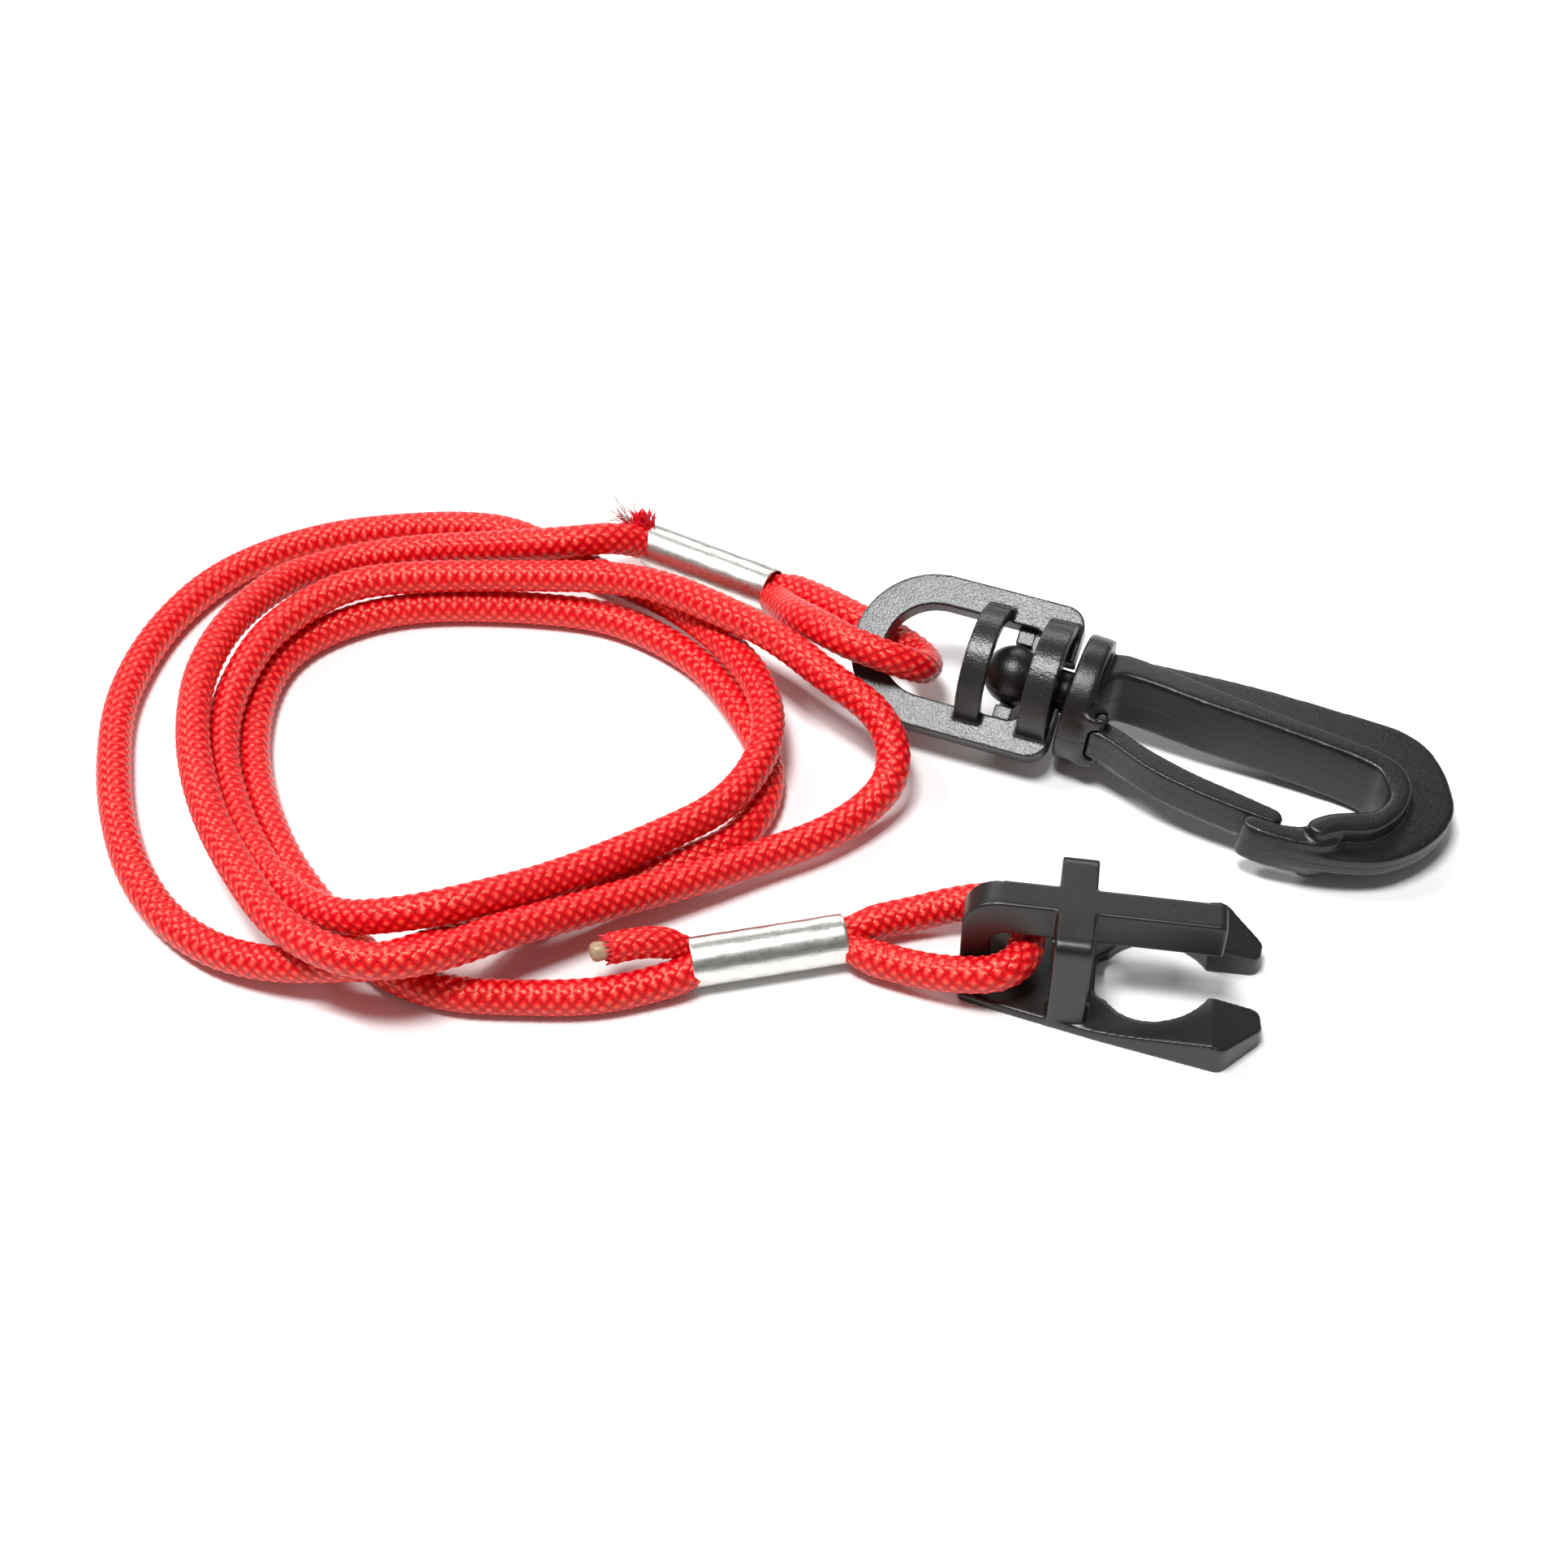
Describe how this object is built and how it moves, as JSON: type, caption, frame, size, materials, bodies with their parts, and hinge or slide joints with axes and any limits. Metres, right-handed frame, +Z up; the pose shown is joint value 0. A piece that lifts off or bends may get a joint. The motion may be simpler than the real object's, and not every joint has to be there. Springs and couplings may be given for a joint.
{
  "type": "kill-switch lanyard",
  "caption": "Engine kill-switch lanyard: a red braided cord laid in loose turns, with a black swivel snap hook at one end and a forked stop-switch key at the other.",
  "frame": {"origin": "on the surface that the lanyard lies on, under the middle of the rigid pieces (ferrules, hook and key)", "axes": "+X from the loose turns of cord towards the hook's bow and the key's prongs, +Y from the key towards the hook, +Z up from the surface"},
  "size_m": [0.1633, 0.0916, 0.0166],
  "materials": {
    "black_plastic": "black moulded nylon, satin",
    "black_grained_plastic": "black moulded nylon with a fine spark-eroded grain",
    "key_plastic": "black moulded plastic, smooth satin",
    "tinned_metal": "bright tinned, lightly dented by crimping",
    "red_braid": "fine red braid with lighter flecks, slightly fuzzy",
    "core_fibre": "clear to white core fibres, frayed",
    "core_melt": "tan heat-sealed core end"
  },
  "bodies": {
    "lanyard": {"crimp_ferrule_hook_end": "tinned_metal", "crimp_ferrule_key_end": "tinned_metal", "cord_lay": "red_braid", "cord_hook_eye": "red_braid", "cord_key_eye": "red_braid", "squeezed_cord_hook_end": "red_braid", "squeezed_cord_key_end": "red_braid", "cord_tail_hook_end": "red_braid", "cord_tail_key_end": "red_braid", "core_end_hook_end": "core_fibre", "core_end_key_end": "core_melt"},
    "eye": {"swivel_eye": "black_grained_plastic"},
    "hook": {"hook_body": "black_plastic"},
    "gate": {"hook_gate": "black_plastic"},
    "key": {"stop_switch_key": "key_plastic"}
  },
  "joints": [
    {"name": "eye_lift", "type": "hinge", "parent": "lanyard", "child": "eye", "pos_m": [-0.01915, 0.01679, 0.0091], "axis": [-0.3185, -0.81, -0.4923], "range_deg": [0, 15]},
    {"name": "swivel", "type": "hinge", "parent": "eye", "child": "hook", "pos_m": [-0.00206, 0.01026, 0.00878], "axis": [-0.9301, 0.3552, 0.0941], "continuous": true},
    {"name": "gate_swing", "type": "hinge", "parent": "hook", "child": "gate", "pos_m": [0.00728, 0.00038, 0.00762], "axis": [0.0879, -0.0336, 0.9956], "range_deg": [0, 15], "stiffness_Nm_per_rad": 0.05, "springref_deg": -5.73},
    {"name": "key_tilt", "type": "hinge", "parent": "lanyard", "child": "key", "pos_m": [-0.00307, -0.02948, 0.0055], "axis": [-0.1478, -0.989, 0], "range_deg": [0, 35]}
  ]
}
